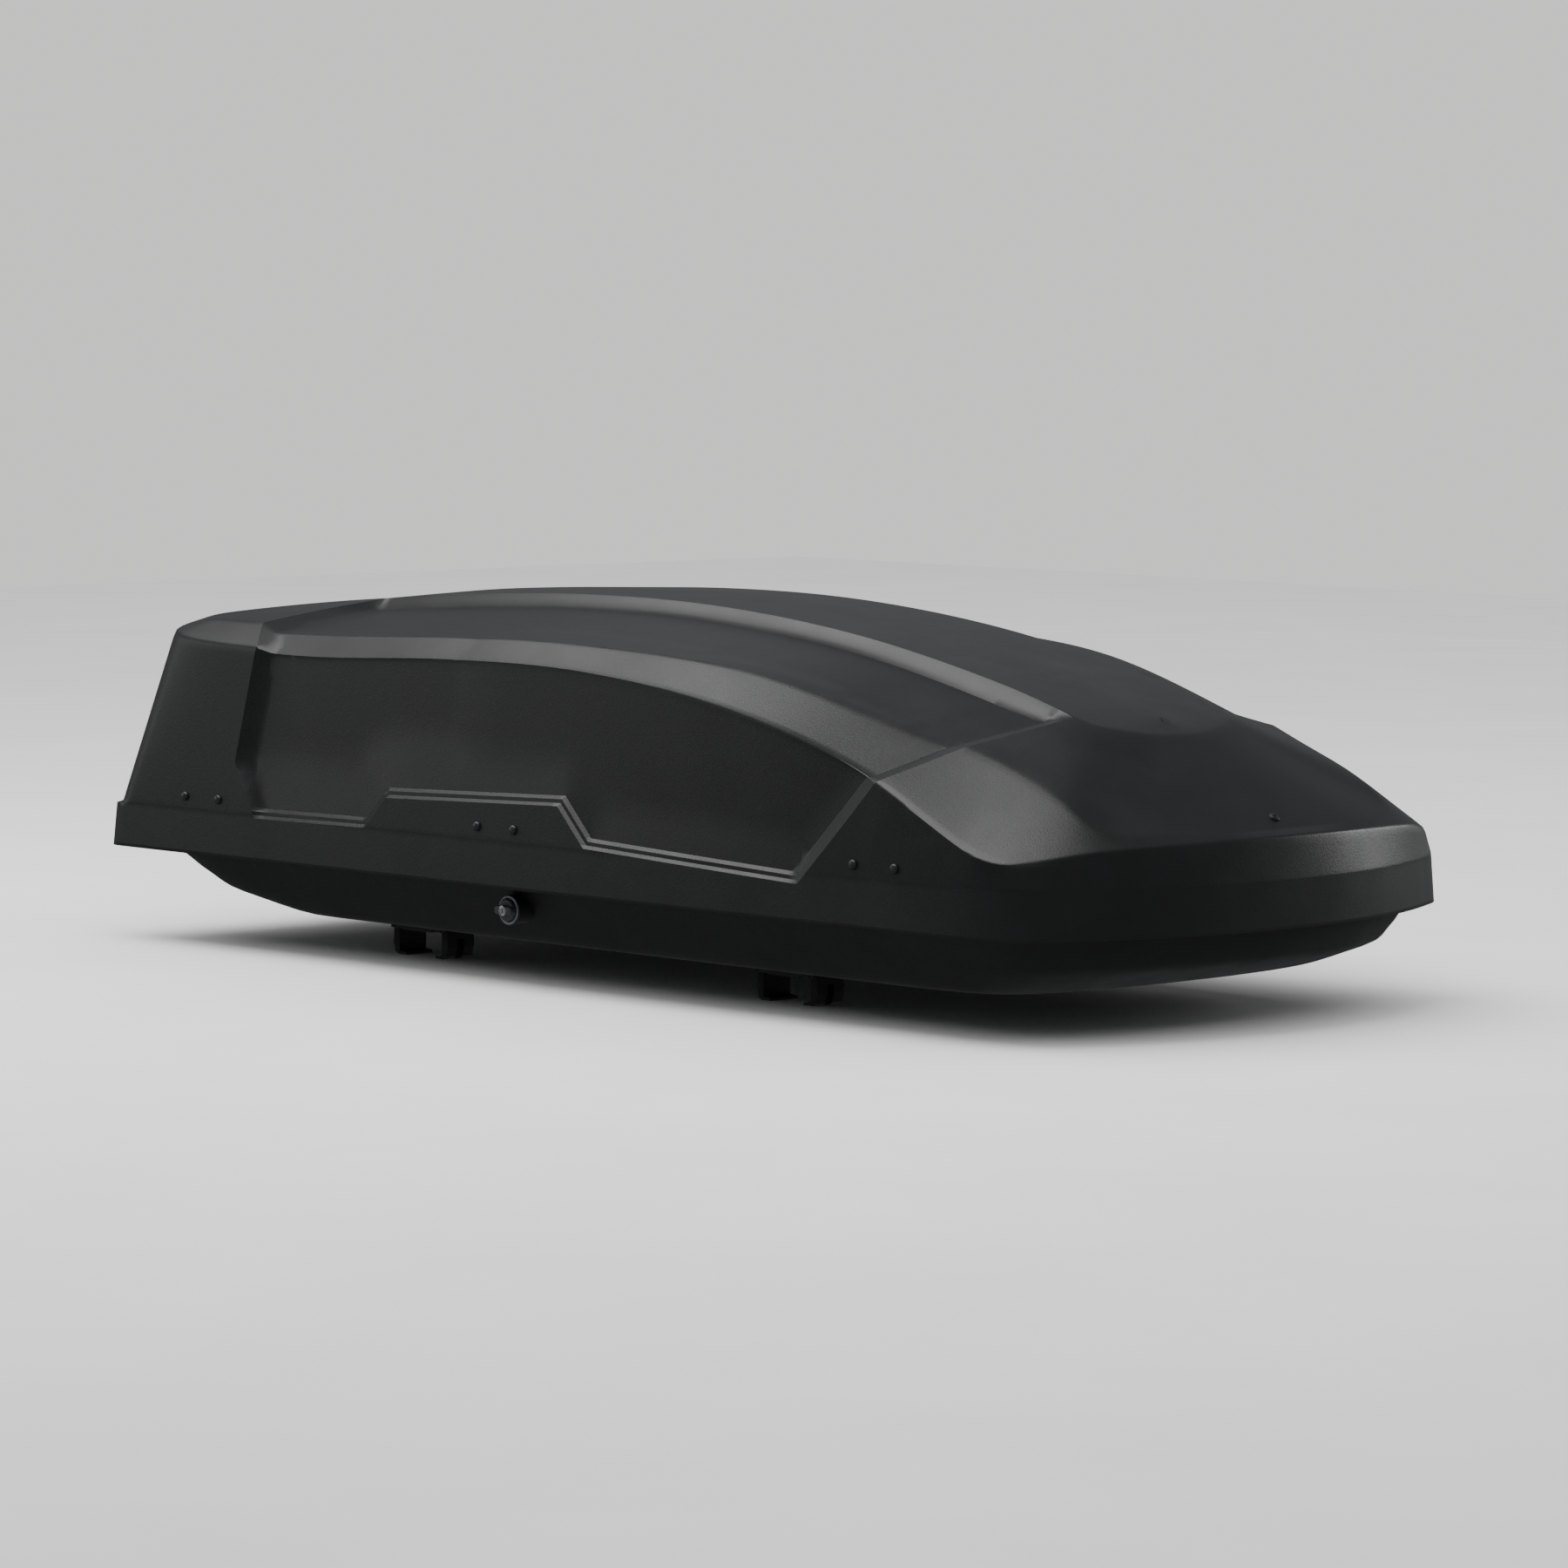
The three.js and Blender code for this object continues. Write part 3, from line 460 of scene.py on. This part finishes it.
# cut the mesh along each line of the border so that the steps get clean edges
for a, b, kind in borders:
    run = Vector((b[0] - a[0], 0, b[1] - a[1])).normalized()
    inward = Vector((-run.z, 0, run.x))
    for offset, _ in panel["steps"][kind][:-1]:
        if kind == "none":
            continue
        start = Vector((a[0], 0, a[1])) + inward * offset
        near = []
        for face in half.faces:
            x, y, z = middleOf(face)
            if segmentDistance(x, z, a, b) < offset + panel["cutMargin"] and y > panel["cutFromSide"]:
                near.append(face)
        cutFaces(half, near, placed(start), inward)

for offset in (0, panel["spineStep"][1][0]):
    near = []
    for face in half.faces:
        x, y, z = middleOf(face)
        if (abs(y - panel["spineHalfWidth"] - offset) < panel["spineCutMargin"]
                and panel["spineCutFrom"] < x < panel["spineCutTo"] and z > panel["spineCutAbove"]):
            near.append(face)
    cutFaces(half, near, Vector((0, panel["spineHalfWidth"] + offset, 0)) * mm, Vector((0, 1, 0)))
bmesh.ops.dissolve_degenerate(half, edges=half.edges[:], dist=panel["sliverMm"] * mm)
bmesh.ops.triangulate(half, faces=[f for f in half.faces if len(f.verts) > 4], ngon_method="BEAUTY")

moves = [(v, inwardAt(v.co), panelDepth(v.co.x / mm, v.co.y / mm, v.co.z / mm - lift))
         for v in half.verts]
for vert, way, depth in moves:
    vert.co += way * depth * mm
mirrorAcross(half, 1)
lidSkin = BVHTree.FromBMesh(half)
lidPiece = newPiece("lid_sheet", half, lidAbs, "lid")
addWall(lidPiece, lid["sheetMm"])
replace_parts(lidPiece, "lid_shell")
print("lid made")


# aluminium bows under the lid, from rim to rim against the inside of the sheet
bows = {
    "stations": (-600, 10, 400),
    "width": 30,
    "gapMm": 3.4,
    "thickMm": 9,
    "centreHeight": 150,
    "steps": 44,
    "lowestDegrees": -4.3,  # the feet end above the flange of the tray, also with the lid open
    "probeMm": 5,
}


def reach(x, angle):
    # how far a bow can go out before it meets the sheet
    start = placed(Vector((x, 0, bows["centreHeight"])))
    return lidSkin.ray_cast(start, Vector((0, cos(angle), sin(angle))))[3] / mm - bows["gapMm"]


for name, station in zip(("rear", "middle", "front"), bows["stations"]):
    first = radians(bows["lowestDegrees"])
    angles = [first + (pi - 2 * first) * k / bows["steps"] for k in range(bows["steps"] + 1)]
    back, front = station - bows["width"] / 2, station + bows["width"] / 2
    probes = (back, station - bows["probeMm"], station + bows["probeMm"], front)
    reaches = [[reach(x, a) for a in angles] for x in probes]
    corners = [(back, 0), (front, 0), (front, bows["thickMm"]), (back, bows["thickMm"])]
    pointRows = []
    for k, angle in enumerate(angles):
        nearest = min(min(side[max(k - 1, 0):k + 2]) for side in reaches)
        way = Vector((0, cos(angle), sin(angle)))
        pointRows.append([Vector((x, 0, bows["centreHeight"])) + way * (nearest - inwards)
                          for x, inwards in corners])
    bm, _ = sweepRows(pointRows, closed=True)
    bmesh.ops.holes_fill(bm, edges=[e for e in bm.edges if e.is_boundary], sides=4)
    bmesh.ops.recalc_face_normals(bm, faces=bm.faces[:])
    bow = newPiece("lid_bow_" + name, bm, millAluminium, "lid")
    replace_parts(bow, "lid_rib_" + name)
print("bows made")


# the tray under the rim, with a flange that carries the hinges and the lock bar
tray = {
    "sheetMm": 2.6,
    "columnMm": 16,
    "floor": [(-612, 0), (-610, 255), (-598, 295), (-565, 312), (-400, 315), (-200, 316), (20, 316),
              (270, 315), (480, 312), (610, 305), (655, 285), (680, 240), (698, 120), (702, 0)],
    "knee": [(-745, 0, 27), (-742, 290, 27), (-725, 328, 28), (-690, 338, 29), (-450, 338, 30),
             (-200, 339, 30), (20, 339, 30), (270, 338, 30), (500, 336, 31), (690, 330, 33),
             (740, 312, 35), (778, 262, 36), (828, 130, 38), (845, 0, 38)],
    "wall": [(-806, 0), (-803, 330), (-790, 362), (-755, 374), (-500, 375), (-200, 375), (20, 375),
             (270, 375), (500, 372), (705, 366), (752, 346), (790, 290), (842, 145), (857, 0)],
    "easing": [(1, 2, 5), (2, 2, 5)],
    "middleShorter": 0.8,
    "flangeInset": 15.5,
    "flangeHeight": 80.8,
    "flangeRise": 0.2,
    "flangeNose": 865,
    "slotStations": (-419, 263),
    "slotSide": 230,
    "slotHalfLength": 121,
    "slotHalfWidth": 12,
    "cutMargin": 160,  # the slots are cut through faces this near and this low
    "cutBelow": 5,
}
middleRing = [(x * tray["middleShorter"], 0, 0) for x, y in tray["floor"]]
floorRing = [(x, y, 0) for x, y in tray["floor"]]
wallRing = [(x, y, tray["flangeHeight"]) for x, y in tray["wall"]]
flangeTop = tray["flangeHeight"] + tray["flangeRise"]
flangeRing = [(x - (1 if x > 0 else -1) * tray["flangeInset"], max(y - tray["flangeInset"], 0), flangeTop)
              for x, y in lid["rim"]]
flangeRing[-1] = (tray["flangeNose"], 0, flangeTop)
bm, rows, ringRows = loftHalf(
    [middleRing, floorRing, tray["knee"], wallRing, flangeRing],
    [[0.15, 0.3, 0.45, 0.6, 0.75, 0.9, 0.97, 1.0], [0.08, 0.3, 0.6, 0.9, 1.0],
     [0.1, 0.3, 0.5, 0.7, 0.95, 1.0], [0.5, 1.0]], tray["columnMm"])
for ring, *how in tray["easing"]:
    relax(bm, rows, ringRows[ring], *how)
for station in tray["slotStations"]:
    ends = [station - tray["slotHalfLength"], station + tray["slotHalfLength"]]
    sides = [tray["slotSide"] - tray["slotHalfWidth"], tray["slotSide"] + tray["slotHalfWidth"]]
    for co, no in [((ends[0], 0, 0), (1, 0, 0)), ((ends[1], 0, 0), (1, 0, 0)),
                   ((0, sides[0], 0), (0, 1, 0)), ((0, sides[1], 0), (0, 1, 0))]:
        near = [f for f in bm.faces if abs(middleOf(f)[0] - station) < tray["cutMargin"]
                and middleOf(f)[2] < tray["cutBelow"]]
        cutFaces(bm, near, placed(Vector(co)), Vector(no))
    hole = [f for f in bm.faces if ends[0] < middleOf(f)[0] < ends[1]
            and sides[0] < middleOf(f)[1] < sides[1] and middleOf(f)[2] < tray["cutBelow"]]
    bmesh.ops.delete(bm, geom=hole, context="FACES")
mirrorAcross(bm, -1)
trayPiece = newPiece("tray_sheet", bm, trayAbs, "base")
addWall(trayPiece, tray["sheetMm"])
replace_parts(trayPiece, "base_tray")
print("tray made")


# blind rivets, a domed head over each shank
rivets = {
    "stations": (-683, -106, 553),
    "offset": 34,
    "height": 154,
    "castFromSide": 600,  # each head is dropped onto the lid from out here
    "castFromTop": 400,
    "capX": 832,  # a plug in the middle of the nose
    "cap": [(4.2, -5.0), (4.4, -1.0), (6.8, -0.8), (6.8, 1.0), (6.2, 2.0), (4.8, 2.7), (2.6, 3.0),
            (2.2, 2.2), (0, 2.0)],
    "dome": [(6.2, -1.5), (6.2, 0.8), (6.0, 2.0), (5.4, 3.0), (4.6, 3.7), (3.0, 4.3), (0, 4.6)],
    "sides": 20,
}
bm = bmesh.new()
for station in rivets["stations"]:
    for x in (station - rivets["offset"], station + rivets["offset"]):
        for side in (-1, 1):
            start = placed(Vector((x, side * rivets["castFromSide"], rivets["height"])))
            place, normal, _, _ = lidSkin.ray_cast(start, Vector((0, -side, 0)))
            spinShape(bm, rivets["dome"], rivets["sides"], place, normal)
bmesh.ops.recalc_face_normals(bm, faces=bm.faces[:])
newPiece("rivet_domes", bm, powderCoat, "lid")
bm = bmesh.new()
start = placed(Vector((rivets["capX"], 0, rivets["castFromTop"])))
place, normal, _, _ = lidSkin.ray_cast(start, Vector((0, 0, -1)))
spinShape(bm, rivets["cap"], rivets["sides"], place, normal)
bmesh.ops.recalc_face_normals(bm, faces=bm.faces[:])
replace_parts(newPiece("nose_cap", bm, clampNylon, "lid"), "nose_plug")
print("rivets made")


# the lock: a turned collar in the tray wall, a grip that turns in it, and a ring round the key
lock = {
    "x": -112,
    "height": 48,
    "faceY": -373,
    "collar": [(12.4, -23), (18, -23), (18, 1.8), (19.4, 2.0), (19.4, 3.2), (18.6, 4.0), (15.4, 4.0),
               (14.9, 3.4), (14.9, -6), (12.4, -6)],
    "rim": [(15.2, 3.6), (18.2, 3.6), (18.4, 4.6), (17.6, 5.2), (15.8, 5.2), (15.2, 4.6)],
    "grip": [(7.2, 0.5), (14.3, 0.5), (14.3, 7.6), (13.6, 8.5), (12.4, 8.9), (7.2, 8.9)],
    "keyRing": [(4.7, 13.0), (6.6, 13.0), (6.6, 14.9), (6.2, 15.5), (5.2, 15.5), (4.7, 15.1)],
    "wing": (32, 11, 6.2),  # length, width and height of the bar across the grip
    "wingFoot": 8.6,  # where it stands on the grip
    "wingRound": 5.2,
    "wingTop": 14.7,  # its edges past this are eased
    "wingEdge": 1.4,
    "sides": 48,
}
lockPlace = placed(Vector((lock["x"], lock["faceY"], lock["height"])))
outwardY = (0, -1, 0)
bm = bmesh.new()
spinShape(bm, lock["collar"], lock["sides"], lockPlace, outwardY, closed=True)
bmesh.ops.recalc_face_normals(bm, faces=bm.faces[:])
collar = newPiece("lock_collar", bm, clampNylon, "base", sharpDegrees=50)
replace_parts(collar, "lock_housing")
bm = bmesh.new()
spinShape(bm, lock["rim"], lock["sides"], lockPlace, outwardY, closed=True)
bmesh.ops.recalc_face_normals(bm, faces=bm.faces[:])
newPiece("lock_rim", bm, satinGrey, "base", sharpDegrees=60)
bm = bmesh.new()
spinShape(bm, lock["grip"], lock["sides"], lockPlace, outwardY, closed=True)
wing = bmesh.ops.create_cube(bm, size=1.0)["verts"]
length, width, height = [value * mm for value in lock["wing"]]
bmesh.ops.scale(bm, vec=(length, height, width), verts=wing)
bmesh.ops.translate(bm, vec=lockPlace + Vector((0, -lock["wingFoot"] * mm - height / 2, 0)), verts=wing)
ends = [e for v in wing for e in v.link_edges if abs(e.verts[0].co.y - e.verts[1].co.y) > height / 2]
bmesh.ops.bevel(bm, geom=list(set(ends)), offset=lock["wingRound"] * mm, offset_type="OFFSET", segments=8,
                profile=0.5, affect="EDGES", material=-1)
outer = [e for e in bm.edges if all(v.co.y < lockPlace.y - lock["wingTop"] * mm for v in e.verts)]
bmesh.ops.bevel(bm, geom=outer, offset=lock["wingEdge"] * mm, offset_type="OFFSET", segments=3, profile=0.5,
                affect="EDGES", material=-1)
bmesh.ops.recalc_face_normals(bm, faces=bm.faces[:])
newPiece("lock_grip", bm, greyPlastic, "turn_handle", sharpDegrees=50)
bm = bmesh.new()
spinShape(bm, lock["keyRing"], lock["sides"], lockPlace, outwardY, closed=True)
bmesh.ops.recalc_face_normals(bm, faces=bm.faces[:])
newPiece("key_ring", bm, plating, "turn_handle", sharpDegrees=60)
print("lock made")


# clamp knobs, turned and then pinched into five lobes
knob = {
    "profile": [(0, 66), (12, 66), (20, 65.2), (26, 63), (29.6, 59.5), (30.8, 55), (30.6, 49), (29, 46),
                (25, 44.8), (7, 44.6), (7, 30), (0, 30)],
    "lobes": 5,
    "pinch": 0.15,
    "pinchFrom": 10,  # the lobes start at this radius and are full over the next stretch
    "pinchOver": 18,
    "sides": 60,
}
for end, x in zip(("rear", "front"), tray["slotStations"]):
    for side, y in (("right", -tray["slotSide"]), ("left", tray["slotSide"])):
        bm = bmesh.new()
        fresh = spinShape(bm, knob["profile"], knob["sides"], (0, 0, lift * mm), (0, 0, 1))
        for vert in fresh:
            radius = Vector((vert.co.x, vert.co.y)).length / mm
            pinch = knob["pinch"] * smoothStep((radius - knob["pinchFrom"]) / knob["pinchOver"])
            turned = Vector((1, 0)).angle_signed(vert.co.xy, 0.0) if radius > 1 else 0.0
            vert.co.xy *= 1 - pinch * (0.5 + 0.5 * cos(knob["lobes"] * turned))
        bmesh.ops.translate(bm, vec=Vector((x, y, 0)) * mm, verts=bm.verts[:])
        bmesh.ops.recalc_face_normals(bm, faces=bm.faces[:])
        ending = end + "_" + side
        cap = newPiece("knob_cap_" + ending, bm, greyPlastic, "knob_" + ending,
                       sharpDegrees=50)
        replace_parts(cap, "clamp_knob_" + ending)
print("knobs made")


# the other CAD parts keep their shape and take a finish and softened edges
finishes = {
    "lid_plastic": lidAbs, "base_plastic": trayAbs, "clamp_plastic": clampNylon,
    "handle_plastic": greyPlastic, "rubber": jawRubber, "steel": zincSteel,
    "aluminium": millAluminium, "strut_paint": powderCoat, "chrome": plating,
}
softEdges = {"width": 0.5, "segments": 2, "fromDegrees": 40}
slots = {row["node"]: row["material_slot"] for row in frame["record"]["subparts"]}
for name, part in frame["nodes"].items():
    part.data.materials.clear()
    part.data.materials.append(finishes[slots[name]])
    weld = part.modifiers.new("weld", "WELD")
    weld.merge_threshold = mergeGap
    soft = part.modifiers.new("soft_edges", "BEVEL")
    soft.width = softEdges["width"] * mm
    soft.segments = softEdges["segments"]
    soft.limit_method = "ANGLE"
    soft.angle_limit = radians(softEdges["fromDegrees"])
    soft.harden_normals = False
print("finishes on")


# a pale floor and background, and soft lights
studio = {
    "floorHalf": 8.0,
    "sky": (0.9, 0.92, 0.95, 1.0),
    "skyStrength": 0.2,
    "backdrop": "f2f2f1",  # what the camera sees past the floor
    "middle": (0, 0, 0.3),
    "lights": [  # name, place, size, watts, turned to the middle, shows in reflections
        ("overhead", (-0.9, -0.9, 3.0), (4.2, 2.2), 125, False, True),
        ("tail_side", (-5.4, -3.2, 1.7), (3.8, 2.2), 28, True, True),
        ("roof_glow", (-2.4, 3.4, 2.6), (3.0, 1.6), 3, True, True),
        ("far_side", (1.8, 4.6, 1.3), (2.4, 1.2), 45, True, True),
        ("floor_wash", (-1.5, 1.5, 8.0), (24.0, 24.0), 2500, False, False),
    ],
}
stageFinish = mouldedFinish("matt_studio_paper", "e6e6e5", "ececeb", 400, 3.0, 0.02, (0.9, 0.95),
                            {"Specular IOR Level": 0.1})
bm = bmesh.new()
bmesh.ops.create_grid(bm, x_segments=2, y_segments=2, size=studio["floorHalf"])
floorMesh = bpy.data.meshes.new("studio_floor")
bm.to_mesh(floorMesh)
bm.free()
floorMesh.materials.append(stageFinish)
floor = bpy.data.objects.new("studio_floor", floorMesh)
bpy.context.collection.objects.link(floor)
floor.visible_glossy = False  # the box stands clear of a dark roof, so it doesn't mirror the pale floor

world = bpy.data.worlds.new("studio")
bpy.context.scene.world = world
world.use_nodes = True
sky = world.node_tree
background = sky.nodes["Background"]
background.inputs["Color"].default_value = studio["sky"]
background.inputs["Strength"].default_value = studio["skyStrength"]
pale = addNode(sky, "ShaderNodeBackground", values={"Color": linear(studio["backdrop"]), "Strength": 1.0})
rays = addNode(sky, "ShaderNodeLightPath")
mixed = addNode(sky, "ShaderNodeMixShader", links={
    "Fac": (rays, "Is Camera Ray"), 1: (background, "Background"), 2: (pale, "Background")})
sky.links.new(mixed.outputs["Shader"], sky.nodes["World Output"].inputs["Surface"])

for name, place, size, power, turned, mirrored in studio["lights"]:
    data = bpy.data.lights.new(name, "AREA")
    data.shape = "RECTANGLE"
    data.size, data.size_y = size
    data.energy = power
    lamp = bpy.data.objects.new(name, data)
    bpy.context.collection.objects.link(lamp)
    lamp.matrix_world = Matrix.Translation(place)
    if turned:
        lamp.matrix_world @= lookAlong(place, studio["middle"])
    lamp.visible_glossy = mirrored
print("studio lit")
